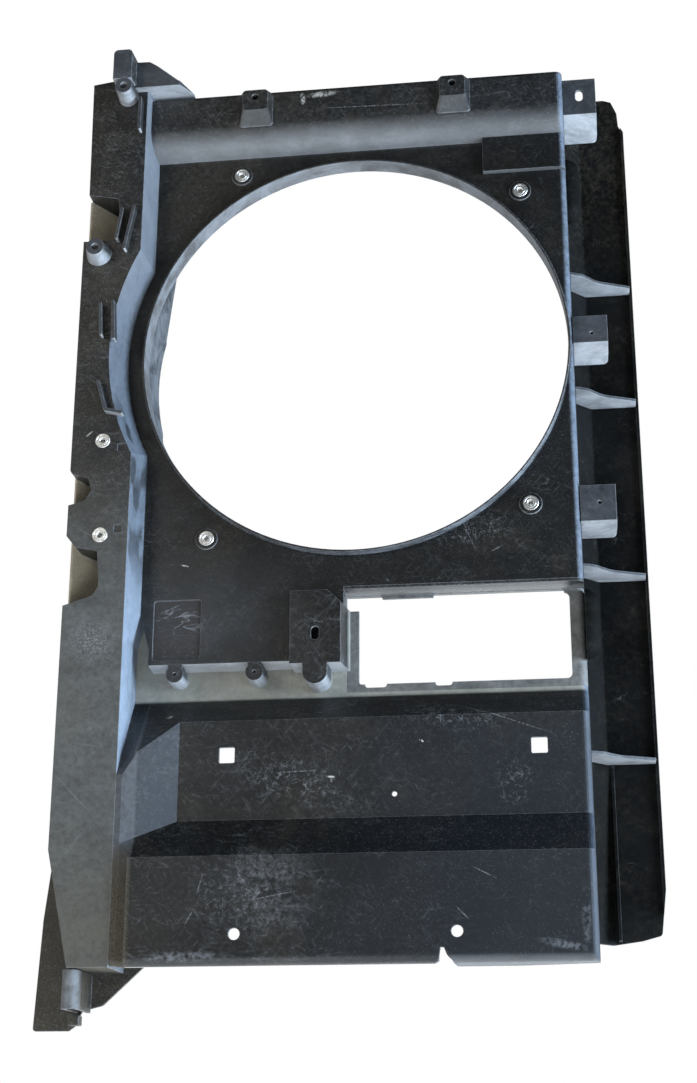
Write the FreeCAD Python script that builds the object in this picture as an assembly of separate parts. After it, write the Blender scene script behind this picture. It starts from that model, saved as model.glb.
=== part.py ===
"""Radiator fan shroud: a thin-walled moulding that guides air from a radiator to an engine's fan.

Millimetres. X runs to the right, Z up and -Y towards the engine. The origin is on the fan's axis,
at the front face of the panel that carries the fan opening.
"""
import FreeCAD, Part
import math
import os

from FreeCAD import Vector

# Fan opening and its collar; the edges of the moulding are measured from the collar's outside
fan_opening_radius = 225.0
collar_wall = 2.5
collar_stand = 10.0
collar_back = 12.0
collar_edge_radius = 0.8
right_margin = 2.5
bulge_margin = 17.5
panel_left_inset = 7.5
skirt_left_inset = 18.5
panel_top_margin = 16.5

# Moulding in general
wall = 3.0
rear_y = 68.0
seam_land = 3.0
skirt_bow = ((0.0, 165.0), (12.0, 60.0))
edge_roll = 8.0
roll_steps = 6

# Beam across the top
beam_height = 24.0
beam_rise = 70.0
beam_edge_radius = 6.0
roll_radius = 34.0

# Stepped lower panel: the drops are measured downwards from one crease to the next
plateau_drop = 109.5
recess_depth = 25.0
recess_draft = 2.0
recess_drop = 31.0
mid_height = 12.0
first_slope_drop = 31.5
mid_face_drop = 98.5
low_height = 42.0
second_slope_drop = 39.0
low_face_drop = 101.0
bottom_radius = 9.0
facet_left_run = 13.0
facet_right_run = 37.0
facet_top_drop = 87.0
facet_face_drop = 67.0
facet_crown = 9.0
corner_inset = 1.0
plateau_corner = ((10.0, 17.0), (0.0, 54.0))
low_lip = 12.0
low_return = (38.0, 70.0, 22.0)
low_split_x = 87.0
low_split = ((-9.0, -1.0), (-3.5, 2.0, 4.0), (-1.5, 13.5), (1.5, 13.5), (4.5, 6.0, 8.0), (13.0, -1.0))

# Mounting rail down the left side
rail_height = 35.0
rail_width = 72.0
rail_rise = 20.0
rail_draft = 8.0
bulge_draft = 12.0
rail_taper_rise = 111.0
rail_taper_run = 24.0
rail_slant = 4.5
rail_facet_width = 27.0
rail_facet_depth = 5.0
rail_recess_rise = (55.0, 85.0)

# Notches in the rail's outer edge: x from that edge, z and corner radius; then their sloping floors
notch_outlines = (
    ((-3.0, 132.5), (33.0, 132.5), (40.0, 144.0, 3.0), (37.0, 183.0, 3.0), (-3.0, 191.0)),
    ((-3.0, -174.0), (8.0, -171.0, 4.0), (17.5, -168.0, 5.0), (23.5, -157.0, 5.0), (19.5, -144.0, 3.0),
     (2.0, -138.5, 4.0), (-3.0, -129.0)),
    ((-3.0, -282.0), (10.0, -278.0, 4.0), (31.0, -271.0, 8.0), (36.0, -261.0, 4.0), (33.0, -224.0, 3.0),
     (10.0, -219.0, 6.0), (-3.0, -203.0)),
)
notch_floor = ((3.0, -20.0), (38.0, 22.0))

# Rectangular duct opening
duct_left_x = -10.5
duct_top_z = -261.0
duct_borders = (12.5, 15.0, 7.0, 11.0)
duct_corner_radius = 5.0
duct_relief = 3.5
duct_top_reliefs = ((2.0, 26.0), (78.0, 210.0))
duct_low_reliefs = ((8.0, 30.0), (79.0, 96.0))
duct_notch = (17.0, 3.5, 19.0)

# Side guide down the right side
guide_flare = 16.0
guide_bend_y = 48.0
guide_width = 66.0
guide_lip = 4.0
guide_rise = 14.0
guide_bottom_rise = 25.0
guide_foot_corner = ((-1.0, 60.0), (5.5, 9.0, 4.0), (24.0, 4.0), (60.0, -1.0))
guide_corner = ((-1.0, 47.0), (5.0, 35.0, 5.0), (6.0, 18.0, 5.0), (12.0, 3.0, 3.0), (24.0, -1.0))
gusset_heights_z = (81.0, -52.0, -246.0, -437.0)
gusset_front = ((0.0, 10.0), (13.0, 16.0, 10.0), (28.0, 34.0, 25.0))
gusset_end_y = 50.0
guide_rib_height = 15.0
wall_boss_radius = 15.0
wall_boss_y = 24.0
wall_boss_spans = {"wall_boss_upper": (151.0, 227.0), "wall_boss_lower": (-339.0, -266.0)}

# Metal inserts; the places on the rail are measured from its outer edge
insert_circle_margin = 27.5
insert_angles = (45.0, 119.5, 233.0, 315.0)
rail_insert_places = ((33.0, -103.0), (35.0, -207.0))
insert_bore_radius = 2.5
insert_shank_radius = 5.0
insert_head_radius = 8.0
insert_head = 1.2
insert_length = 13.0
insert_boss_wall = 3.5
insert_pad = 1.5

# Posts on the rail: x from its outer edge, z, height, outer radius at the top and at the foot
post_bore_radius = 4.0
posts = {
    "post_upper": (42.5, 311.0, 25.0, 9.5, 11.5),
    "post_lower": (18.0, 116.0, 18.0, 9.5, 14.0),
}

# Cable clips on the rail: the two ends of each prong, x from the rail's outer edge and z
clip_height = 9.0
clip_wall = 3.5
clips = {
    "cable_clip_1": (((58.0, 304.0), (58.0, 266.0)),),
    "cable_clip_2": (((43.5, 165.0), (38.5, 131.0)), ((56.5, 167.5), (47.5, 118.0))),
    "cable_clip_3": (((25.0, 52.0), (27.0, 17.0)), ((38.5, 54.0), (41.0, 11.5))),
    "cable_clip_4": (((27.0, -39.0), (36.0, -71.0)), ((36.0, -71.0), (53.0, -75.0))),
}

# Square pockets in the rail's face, x from its outer edge and z
rail_pocket = 8.0
rail_pocket_depth = 1.8
rail_pocket_places = ((53.0, -111.0), (53.0, -200.5))

# Bolt tabs on the top beam
beam_tab_half_width = 14.0
beam_tab_face = 25.0
beam_tab_top = 3.0
beam_tab_slope = 17.5
beam_tab_draft = 5.0
beam_tab_corner = 4.0
beam_tab_stand = 8.0
beam_tab_bore_radius = 4.0
beam_tab_bore_drop = 9.0
beam_tab_places = {"beam_tab_left": -107.0, "beam_tab_right": 111.0}

# Tabs on the right side: top z, face height, slope height, and the bore's x and drop
guide_tab_width = 36.0
guide_tab_depth = 30.0
guide_tab_set_back = 3.0
guide_tab_corner = 6.0
guide_tab_bore_radius = 2.0
guide_tabs = {
    "guide_tab_upper": (28.0, 30.5, 12.5, 19.5, 20.0),
    "guide_tab_lower": (-162.0, 38.5, 8.5, 19.5, 19.0),
}
corner_tab_rise = 3.0
corner_tab_face = 44.0
corner_tab_slope = 19.0
corner_tab_slot = (8.0, 14.0)
corner_tab_slot_drop = 20.5

# Bracket over the rail's top corner: a raised pillar and a sloping fin
pillar_height = 60.0
pillar_rise = 23.0
pillar_foot = 14.0
pillar_span = (30.0, 51.0)
pillar_draft = 5.0
pillar_radius = 5.0
fin_height = 44.0
fin_outline = ((51.0, 16.0), (67.0, 15.5, 4.0), (76.0, 9.5, 6.0), (100.0, -11.0, 4.0), (114.0, -17.0))
fin_foot = 3.0
fin_tip = (12.0, 20.0)

# Foot below the rail: its outline from the rail's outer edge and the lower edge of the moulding
foot_outline = (
    (-14.0, 101.0),
    (-19.0, 52.0),
    (-23.5, -53.5, 3.0),
    (12.5, -53.5, 3.0),
    (18.0, -49.5, 2.0),
    (25.0, -35.0, 3.0),
    (45.0, -30.0, 5.0),
    (83.5, 5.5),
)
foot_post_span = (18.0, 33.0)
foot_post_drop = (1.0, 37.0)
foot_post_height = 55.0
foot_hook = (13.0, 40.0, 10.0, 9.0)

# Raised pad beside the beam
pad_height = 6.0
pad_corner = (141.0, 204.0)

# Raised block and pilot bosses beside the duct opening; x from the opening's left side
block_span = (-53.0, -1.5)
block_height = 12.0
block_top_drop = 6.0
block_foot = 6.0
block_chamfer = (14.0, 13.0)
block_draft = 5.0
block_slot = (8.0, 14.0)
block_slot_rise = 25.0
lobe_radius = 12.5
lobe_drop = 8.5
pilot_radius = 9.0
pilot_drop = 10.0
pilot_draft = 1.0
pilot_stand = 1.5
pilot_neck = 7.0
pilot_bore_radius = 1.8
pilot_places = {"pilot_boss_left": -182.0, "pilot_boss_right": -100.5}

# Square holes, round holes and pocket
square_hole = 15.5
square_hole_places = ((-124.0, -434.0), (181.0, -432.0))
round_hole_radius = 5.5
round_hole_places = ((-107.0, -610.0), (101.0, -610.0))
pin_hole_radius = 2.5
pin_hole_place = (41.0, -476.0)
pocket_depth = 1.4
pocket_size = (49.0, 63.0)
pocket_inset = (4.0, 5.0)

# Values worked out from the sizes above
collar_outer_radius = fan_opening_radius + collar_wall
right_x = collar_outer_radius + right_margin
bulge_radius = collar_outer_radius + bulge_margin
left_x = panel_left_inset - collar_outer_radius
skirt_x = skirt_left_inset - collar_outer_radius
panel_top_z = collar_outer_radius + panel_top_margin
beam_top_z = panel_top_z + beam_rise
plateau_bottom_z = -collar_outer_radius - plateau_drop
recess_top_z = plateau_bottom_z - recess_draft
recess_bottom_z = recess_top_z - recess_drop + recess_draft
mid_top_z = recess_bottom_z - first_slope_drop
mid_bottom_z = mid_top_z - mid_face_drop
low_top_z = mid_bottom_z - second_slope_drop
shell_bottom_z = low_top_z - low_face_drop
facet_top_z = recess_bottom_z - facet_top_drop
facet_bottom_z = facet_top_z - facet_face_drop
seam_z = plateau_bottom_z + seam_land
rail_edge_x = left_x - rail_draft
rail_outer_x = left_x - rail_width
rail_top_z = beam_top_z + rail_rise
rail_back_y = recess_depth + wall
corner_x = skirt_x - corner_inset
guide_foot_x = right_x + guide_flare
guide_outer_x = right_x + guide_width
guide_top_z = beam_top_z + guide_rise
guide_bottom_z = shell_bottom_z + guide_bottom_rise
insert_circle_radius = collar_outer_radius + insert_circle_margin
pilot_z = plateau_bottom_z - pilot_drop


def to_space(plane, u, v, level):
    """A point of a drawing plane in space: XZ at y, YZ at x or XY at z."""
    if plane == "XZ":
        return Vector(u, level, v)
    if plane == "YZ":
        return Vector(level, u, v)
    return Vector(u, v, level)


def outline(points, plane, level):
    """A closed wire through (u, v) corners; a third value rounds the corner with a tangent arc."""
    corners = []
    for index, point in enumerate(points):
        here = Vector(point[0], point[1], 0)
        radius = point[2] if len(point) > 2 else 0.0
        if radius <= 0:
            corners.append((here, here, here))
            continue
        last = points[index - 1]
        following = points[(index + 1) % len(points)]
        back = (Vector(last[0], last[1], 0) - here).normalize()
        ahead = (Vector(following[0], following[1], 0) - here).normalize()
        half = back.getAngle(ahead) / 2
        reach = radius / math.tan(half)
        middle = (back + ahead).normalize() * (radius / math.sin(half) - radius)
        corners.append((here + back * reach, here + middle, here + ahead * reach))
    edges = []
    for index, (entry, middle, leave) in enumerate(corners):
        entry, middle, leave = (to_space(plane, p.x, p.y, level) for p in (entry, middle, leave))
        if (leave - entry).Length > 1e-6:
            edges.append(Part.Arc(entry, middle, leave).toShape())
        start = corners[(index + 1) % len(corners)][0]
        start = to_space(plane, start.x, start.y, level)
        if (start - leave).Length > 1e-6:
            edges.append(Part.makeLine(leave, start))
    return Part.Wire(edges)


def prism(points, plane, start, end):
    """A solid with the given outline, from one level of its plane to another."""
    axis = {"XZ": Vector(0, 1, 0), "YZ": Vector(1, 0, 0), "XY": Vector(0, 0, 1)}[plane]
    return Part.Face(outline(points, plane, start)).extrude(axis * (end - start))


def block(x, y, z):
    """A box between two values along each axis."""
    return Part.makeBox(x[1] - x[0], y[1] - y[0], z[1] - z[0], Vector(x[0], y[0], z[0]))


def rod(x, z, radius, front_y, back_y):
    """A cylinder along Y."""
    return Part.makeCylinder(radius, back_y - front_y, Vector(x, front_y, z), Vector(0, 1, 0))


def rounded_rectangle(x, z, radius):
    """Corners of a rectangle between two x and two z values."""
    return [(x[0], z[0], radius), (x[1], z[0], radius), (x[1], z[1], radius), (x[0], z[1], radius)]


def offset_path(points, thickness):
    """An open path moved to its left by a distance, mitred at each corner."""
    path = [Vector(p[0], p[1], 0) for p in points]
    moved = []
    for index, here in enumerate(path):
        before = (here - path[index - 1]).normalize() if index else None
        after = (path[index + 1] - here).normalize() if index + 1 < len(path) else None
        before = before or after
        after = after or before
        mean = (before + after).normalize()
        normal = Vector(-mean.y, mean.x, 0)
        turn = before.x * after.y - before.y * after.x
        reach = thickness / math.cos(before.getAngle(after) / 2)
        radius = points[index][2] if len(points[index]) > 2 else 0.0
        if radius:
            radius = max(radius - math.copysign(thickness, turn), 0.0)
        far = here + normal * reach
        moved.append((far.x, far.y, radius))
    return moved


def strip(points, thickness):
    """Close an open path into a band by adding its offset to the left."""
    return list(points) + offset_path(points, thickness)[::-1]


def shifted(points, along_u, along_v):
    """The same corners moved along both directions of their plane."""
    return [(p[0] + along_u, p[1] + along_v) + tuple(p[2:]) for p in points]


def tray(points, front_y, back_y, thickness):
    """A raised thin-walled form, closed in front and open at the back."""
    outer = prism(points, "XZ", front_y, back_y)
    inside = Part.Face(outline(points, "XZ", front_y + thickness)).makeOffset2D(-thickness)
    return outer.cut(inside.extrude(Vector(0, back_y - front_y, 0)))


def edge_profile(start_x, front_y, back_y, inset):
    """A level cut through a flat front whose right edge is rounded back to the side."""
    return [
        (start_x, front_y + inset),
        (right_x - inset, front_y + inset, edge_roll - inset),
        (right_x - inset, back_y),
        (start_x, back_y),
    ]


def edged_plate(start_x, front_y, low_z, high_z):
    """A flat plate with its rounded right edge."""
    back_y = front_y + edge_roll
    outer = prism(edge_profile(start_x, front_y, back_y, 0.0), "XY", low_z, high_z)
    return outer.cut(prism(edge_profile(start_x, front_y, back_y, wall), "XY", low_z, high_z))


def edged_form(path, closing, start_x, inset):
    """A solid along X with the given front, whose right edge is rounded back to the side."""
    radius = edge_roll - inset
    flat_x = right_x - edge_roll
    sections = []
    for step in range(roll_steps + 1):
        turn = math.pi / 2 * step / roll_steps
        front = shifted(path, radius * (1 - math.cos(turn)), 0.0)
        sections.append(outline(front + closing, "YZ", flat_x + radius * math.sin(turn)))
    return prism(path + closing, "YZ", start_x, flat_x).fuse(Part.makeLoft(sections, True, True))


def insert_places():
    """Centres of the four inserts round the fan opening."""
    places = []
    for angle in insert_angles:
        turn = math.radians(angle)
        places.append((insert_circle_radius * math.cos(turn), insert_circle_radius * math.sin(turn)))
    return places


def rail_places(places):
    """Places on the rail, turned from distances to its outer edge into x and z."""
    return [(rail_outer_x + place[0],) + tuple(place[1:]) for place in places]


def plateau_corner_path():
    """The plateau's left edge where it draws in from the rail, from the top down."""
    path = [(left_x, plateau_bottom_z + plateau_corner[1][1])]
    path.append((corner_x, plateau_bottom_z + plateau_corner[0][1]))
    path.append((corner_x, plateau_bottom_z))
    return path


def fan_collar():
    """A short ring round the fan opening, with both edges of its rim rounded."""
    half_ring = [
        (fan_opening_radius, -collar_stand, collar_edge_radius),
        (collar_outer_radius, -collar_stand, collar_edge_radius),
        (collar_outer_radius, collar_back),
        (fan_opening_radius, collar_back),
    ]
    section = Part.Face(outline(half_ring, "XY", 0.0))
    return section.revolve(Vector(0, 0, 0), Vector(0, 1, 0), 360)


def fan_panel(raised_block):
    """The flat panel that carries the collar, swelling past its left edge to follow it."""
    panel = edged_plate(left_x, 0.0, seam_z, panel_top_z - seam_land)
    panel = panel.cut(block((duct_left_x, right_x), (0, edge_roll), (seam_z, duct_top_z)))
    corner = plateau_corner_path() + [(left_x, plateau_bottom_z)]
    panel = panel.cut(prism(corner, "XZ", 0, wall))
    swell = rod(0, 0, bulge_radius, 0, wall)
    beyond_edge = block((-bulge_radius, left_x), (0, wall), (-bulge_radius, bulge_radius))
    panel = panel.fuse(swell.common(beyond_edge)).removeSplitter()
    boss_radius = insert_shank_radius + insert_boss_wall
    for x, z in insert_places():
        panel = panel.fuse(rod(x, z, insert_head_radius + insert_boss_wall, -insert_pad, wall))
        panel = panel.fuse(rod(x, z, boss_radius, wall, insert_length - insert_pad))
    for x, z in insert_places():
        panel = panel.cut(rod(x, z, insert_shank_radius, -insert_pad, insert_length))
    panel = panel.cut(rod(0, 0, collar_outer_radius, -collar_stand, rear_y))
    x, z = (corner_x + pocket_inset[0], plateau_bottom_z + pocket_inset[1])
    pocket = rounded_rectangle((x, x + pocket_size[0]), (z, z + pocket_size[1]), wall)
    return panel.cut(prism(pocket, "XZ", 0, pocket_depth)).cut(raised_block)


def beam_path():
    """Front of the top beam from its top edge, over the large roll, down to the panel."""
    turn = math.acos(1 - beam_height / roll_radius)
    start_z = panel_top_z + roll_radius * math.sin(turn)
    corner_z = start_z - roll_radius * math.tan(turn / 2)
    return [
        (-beam_height, beam_top_z, beam_edge_radius),
        (-beam_height, corner_z, roll_radius),
        (0, panel_top_z),
        (0, panel_top_z - seam_land),
    ]


def beam_form(inset):
    """The top beam as a solid; an inset gives the form of its hollow."""
    start = [(rear_y, beam_top_z)]
    path = offset_path(start + beam_path(), inset)[1:] if inset else beam_path()
    closing = [(rear_y, panel_top_z - seam_land), (rear_y, beam_top_z - inset)]
    return edged_form(path, closing, rail_edge_x, inset)


def top_beam(rail_block):
    """The raised beam above the fan opening, with its top wall and closed ends."""
    section = beam_path() + [(rear_y, panel_top_z - seam_land), (rear_y, beam_top_z)]
    left_end = prism(section, "YZ", skirt_x - wall, skirt_x)
    beyond = block((rail_edge_x, skirt_x - wall), (wall, rear_y), (panel_top_z - seam_land, beam_top_z))
    return beam_form(0.0).cut(beam_form(wall)).fuse(left_end).cut(beyond).cut(rail_block)


def lower_path(edge_y, top_z, bottom_z, low_y, low_z):
    """Front of the lower panel: plateau, recess, first slope, middle face, second slope, lowest face."""
    return [
        (0, seam_z),
        (0, plateau_bottom_z),
        (recess_depth, recess_top_z),
        (recess_depth, recess_bottom_z),
        (edge_y, top_z),
        (edge_y, bottom_z),
        (low_y, low_z),
        (low_y, shell_bottom_z, bottom_radius),
    ]


def lower_section(path):
    """The lower panel's wall and its bottom as a band."""
    return strip(path + [(rear_y, shell_bottom_z)], wall)


def lower_panel(rail_block, raised_block):
    """The stepped panel below the fan opening, with facets where it meets the mounting rail."""
    right_path = lower_path(-mid_height, mid_top_z, mid_bottom_z, -low_height, low_top_z)
    share = facet_right_run / (facet_left_run + facet_right_run)
    edge_y = -mid_height - share * (rail_height - mid_height)
    edge_top_z = mid_top_z + share * (facet_top_z - mid_top_z) + facet_crown
    edge_bottom_z = mid_bottom_z + share * (facet_bottom_z - mid_bottom_z)
    edge_path = lower_path(edge_y, edge_top_z, edge_bottom_z, -low_height, low_top_z)
    rail_low_z = facet_bottom_z - seam_land
    rail_path = lower_path(-rail_height, facet_top_z, facet_bottom_z, -rail_height, rail_low_z)
    facet_x = (skirt_x - facet_left_run, skirt_x, skirt_x + facet_right_run)
    outer = edged_form(right_path, [(rear_y, shell_bottom_z), (rear_y, seam_z)], facet_x[2], 0.0)
    hollow_path = offset_path(right_path + [(rear_y, shell_bottom_z)], wall)[:-1]
    closing = [(rear_y, shell_bottom_z + wall), (rear_y, seam_z)]
    panel = outer.cut(edged_form(hollow_path, closing, facet_x[2], wall))
    paths = (rail_path, edge_path, right_path)
    sections = [outline(lower_section(path), "YZ", x) for path, x in zip(paths, facet_x)]
    for first, second in zip(sections, sections[1:]):
        panel = panel.fuse(Part.makeLoft([first, second], True, True))
    panel = panel.fuse(prism(lower_section(rail_path), "YZ", rail_edge_x, facet_x[0]))
    cheek = edge_path + [(rear_y, shell_bottom_z), (rear_y, seam_z)]
    panel = panel.fuse(prism(cheek, "YZ", skirt_x - wall, skirt_x))
    panel = panel.cut(block((duct_left_x, right_x), (0, rear_y), (recess_bottom_z + seam_land, seam_z)))
    panel = panel.cut(block((rail_edge_x, corner_x), (0, recess_depth), (recess_top_z, seam_z)))
    corner = plateau_corner_path()
    floor = corner[:-1] + [(corner_x, recess_top_z), (rail_edge_x, recess_top_z)]
    floor.append((rail_edge_x, corner[0][1]))
    panel = panel.fuse(prism(floor, "XZ", recess_depth, rail_back_y))
    panel = panel.fuse(prism(strip(corner, wall), "XZ", wall, rail_back_y))
    depth, run, end_depth = low_return
    behind = [
        (rail_edge_x, rear_y),
        (rail_edge_x, low_lip - low_height),
        (low_split_x, low_lip - low_height),
        (low_split_x, depth - low_height),
        (right_x - run, depth - low_height),
        (right_x, end_depth - low_height),
        (right_x, rear_y),
    ]
    panel = panel.cut(prism(behind, "XY", shell_bottom_z, guide_bottom_z))
    split = shifted(low_split, low_split_x, shell_bottom_z)
    panel = panel.cut(prism(split, "XZ", -low_height, rear_y))
    half = square_hole / 2
    for x, z in square_hole_places:
        hole = rounded_rectangle((x - half, x + half), (z - half, z + half), wall / 2)
        panel = panel.cut(prism(hole, "XZ", -low_height, 0))
    for x, z in round_hole_places:
        panel = panel.cut(rod(x, z, round_hole_radius, -low_height, 0))
    panel = panel.cut(rod(*pin_hole_place, pin_hole_radius, -low_height, 0))
    return panel.cut(rail_block).cut(raised_block).removeSplitter()


def duct_frame(raised_block):
    """The recessed frame round the rectangular opening for a second air duct."""
    low_z = recess_bottom_z + seam_land
    rim_z = duct_top_z - wall
    frame = edged_plate(duct_left_x - wall, recess_depth, low_z, rim_z)
    rim = edge_profile(duct_left_x - wall, 0.0, recess_depth + edge_roll, 0.0)
    frame = frame.fuse(prism(rim, "XY", rim_z, duct_top_z))
    side = (duct_left_x - wall, duct_left_x)
    side_z = rim_z - block_top_drop - block_chamfer[1]
    frame = frame.fuse(block(side, (wall, recess_depth), (side_z, duct_top_z)))
    frame = frame.cut(block(side, (0, wall), (side_z, duct_top_z)))
    frame = frame.cut(block(side, (0, rear_y), (low_z, side_z)))
    x = (duct_left_x + duct_borders[0], right_x - duct_borders[1])
    z = (recess_bottom_z + duct_borders[3], duct_top_z - duct_borders[2])
    openings = [(x, z, duct_corner_radius)]
    for span in duct_top_reliefs:
        openings.append((span, (z[0], z[1] + duct_relief), wall))
    for span in duct_low_reliefs:
        openings.append((span, (z[0] - duct_relief, z[1]), wall))
    notch_x = (duct_left_x, duct_left_x + duct_notch[0])
    openings.append((notch_x, (duct_top_z - duct_notch[2], duct_top_z - duct_notch[1]), wall / 2))
    for span_x, span_z, radius in openings:
        frame = frame.cut(prism(rounded_rectangle(span_x, span_z, radius), "XZ", recess_depth, rail_back_y))
    return frame.cut(raised_block).removeSplitter()


def rail_side(inset, level, draft, swell, low_z):
    """The rail's outline at one level: straight outer side, inner side that bows round the fan."""
    outer_x = rail_outer_x + inset
    x = left_x - draft - inset
    edge_x = rail_edge_x - inset
    radius = bulge_radius + swell + inset
    rise = math.sqrt(radius ** 2 - x ** 2)
    top_z = rail_top_z - inset
    step_low_z, step_high_z = (recess_bottom_z + step for step in rail_recess_rise)
    slant_z = notch_outlines[0][2][1]
    corners = [
        Vector(outer_x, level, low_z + inset),
        Vector(edge_x, level, low_z + inset),
        Vector(edge_x, level, step_low_z),
        Vector(x, level, step_high_z),
        Vector(x, level, -rise),
        Vector(x, level, rise),
        Vector(x, level, top_z),
        Vector(outer_x, level, top_z),
        Vector(outer_x + rail_slant, level, slant_z),
        Vector(outer_x, level, slant_z),
    ]
    edges = []
    for index, corner in enumerate(corners):
        following = corners[(index + 1) % len(corners)]
        if index == 4:
            edges.append(Part.Arc(corner, Vector(-radius, level, 0), following).toShape())
        else:
            edges.append(Part.makeLine(corner, following))
    return Part.Wire(edges)


def rail_facet(inset):
    """The wedge that bevels the rail's front towards its outer edge and runs out above the notch."""
    front_y = -rail_height + inset
    drop = rail_top_z - notch_outlines[0][-1][1]
    wedge = [
        (rail_outer_x + rail_facet_width, front_y),
        (rail_outer_x - rail_facet_width, front_y),
        (rail_outer_x - rail_facet_width, front_y + 2 * rail_facet_depth),
    ]
    slant = Vector(rail_slant - rail_facet_width, 0, -drop)
    return Part.Face(outline(wedge, "XY", rail_top_z)).extrude(slant)


def rail_form(inset):
    """The rail as a solid, its inner side drafted; an inset gives the form of its hollow."""
    front_y = -rail_height + inset
    share = (rail_height - inset) / rail_height
    low_z = recess_bottom_z - inset
    front = rail_side(inset, front_y, rail_draft * share, bulge_draft * share, low_z)
    foot = rail_side(inset, 0.0, 0.0, 0.0, low_z)
    drafted = Part.makeLoft([front, foot], True, True).cut(rail_facet(inset))
    base = Part.Face(foot).extrude(Vector(0, rail_back_y, 0))
    lower = [
        (rail_outer_x + inset, recess_bottom_z),
        (rail_outer_x + inset, shell_bottom_z + rail_taper_rise),
        (rail_outer_x + rail_taper_run + inset, shell_bottom_z + inset),
        (rail_edge_x - inset, shell_bottom_z + inset),
        (rail_edge_x - inset, recess_bottom_z),
    ]
    return drafted.fuse(base).fuse(prism(lower, "XZ", front_y, rail_back_y))


def rail_notches(grow):
    """Notches in the rail's outer edge, as prisms that an inset widens by the wall."""
    cutter = None
    for points in notch_outlines:
        face = Part.Face(outline(rail_places(points), "XZ", -rail_height))
        if grow:
            face = face.makeOffset2D(grow)
        solid = face.extrude(Vector(0, rail_height + rail_back_y, 0))
        cutter = solid if cutter is None else cutter.fuse(solid)
    return cutter


def mounting_rail(rail_block):
    """The hollow rail with its notched outer edge and the notches' sloping floors, open at the back."""
    hollow = rail_form(wall).cut(rail_notches(wall))
    notches = rail_notches(0.0)
    rail = rail_block.cut(notches).cut(hollow)
    floor = prism(strip(shifted(notch_floor, rail_outer_x, 0.0), wall), "XY", shell_bottom_z, rail_top_z)
    rail = rail.fuse(floor.common(notches))
    boss_radius = insert_shank_radius + insert_boss_wall
    for x, z in rail_places(rail_insert_places):
        rail = rail.fuse(rod(x, z, boss_radius, wall - rail_height, insert_length - rail_height))
    for x, z in rail_places(rail_insert_places):
        rail = rail.cut(rod(x, z, insert_shank_radius, -rail_height, insert_length - rail_height))
    for x, z, *_ in rail_places(posts.values()):
        rail = rail.cut(rod(x, z, post_bore_radius, -rail_height, 0))
    half = rail_pocket / 2
    for x, z in rail_places(rail_pocket_places):
        pocket = rounded_rectangle((x - half, x + half), (z - half, z + half), collar_edge_radius)
        rail = rail.cut(prism(pocket, "XZ", -rail_height, rail_pocket_depth - rail_height))
    return rail.removeSplitter()


def side_wall():
    """The left wall behind the panel, bowed where it clears the fan collar."""
    height = (seam_z, beam_top_z - wall)
    deep = (wall, rear_y)
    forms = []
    for inset in (0.0, wall):
        x = skirt_x - wall + inset
        bow = [(x - reach, z) for reach, z in skirt_bow]
        bow += [(x - reach, -z) for reach, z in skirt_bow[::-1]]
        form = block((x, right_x), deep, height).fuse(prism(bow, "XZ", *deep))
        forms.append(form.fuse(rod(0, 0, collar_outer_radius + wall - inset, *deep)))
    left_half = block((-bulge_radius, skirt_x + wall), deep, height)
    step = block((rail_edge_x, corner_x + wall), (wall, rail_back_y), (seam_z, plateau_corner_path()[0][1]))
    beam_end = block((rail_edge_x, skirt_x), (wall, rear_y), (panel_top_z - seam_land, beam_top_z))
    return forms[0].common(left_half).cut(forms[1]).cut(step).cut(beam_end)


def side_guide():
    """The right wall behind the panel, flaring into a rear flange with a lipped outer edge."""
    path = [
        (right_x, 0),
        (right_x, guide_bend_y, wall),
        (guide_foot_x, rear_y - wall, wall),
        (guide_outer_x, rear_y - wall),
    ]
    guide = prism(strip(path, wall), "XY", guide_bottom_z, guide_top_z)
    height = (guide_bottom_z, guide_top_z)
    lip = block((guide_outer_x - wall, guide_outer_x), (rear_y - wall - guide_lip, rear_y), height)
    guide = guide.fuse(lip)
    side = (right_x - wall, right_x)
    low_z = recess_bottom_z + seam_land
    for depth, height in (
        (edge_roll, (guide_bottom_z, guide_top_z)),
        (recess_depth + edge_roll, (low_z, duct_top_z)),
        (rear_y, (guide_bottom_z, low_z)),
        (rear_y, (panel_top_z - seam_land, guide_top_z)),
    ):
        guide = guide.cut(block(side, (0, depth), height))
    guide = guide.cut(rod(0, 0, collar_outer_radius, 0, collar_back))
    for points, z, way in ((guide_corner, guide_top_z, -1), (guide_foot_corner, guide_bottom_z, 1)):
        corner = [(guide_outer_x - p[0], z + way * p[1]) + tuple(p[2:]) for p in points]
        corner.append((corner[0][0], corner[-1][1]))
        guide = guide.cut(prism(corner, "XZ", guide_bend_y, rear_y))
    return guide.removeSplitter()


def gusset(z):
    """A web with a hollow curve in front, between the side guide's wall and its flange."""
    reach = guide_outer_x - wall
    web = shifted(gusset_front, right_x, 0.0) + [
        (reach, gusset_end_y),
        (reach, rear_y - wall),
        (guide_foot_x, rear_y - wall, wall),
        (right_x, guide_bend_y, wall),
    ]
    return prism(web, "XY", z, z + wall)


def guide_rib():
    """A tapering rib on the side guide's flange."""
    floor = rear_y - wall
    top_z = gusset_heights_z[-1]
    low_z = guide_bottom_z + wall
    web = [(floor, top_z), (floor, low_z), (floor - guide_rib_height, low_z)]
    return prism(web, "YZ", guide_foot_x + wall, guide_foot_x + 2 * wall)


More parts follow.
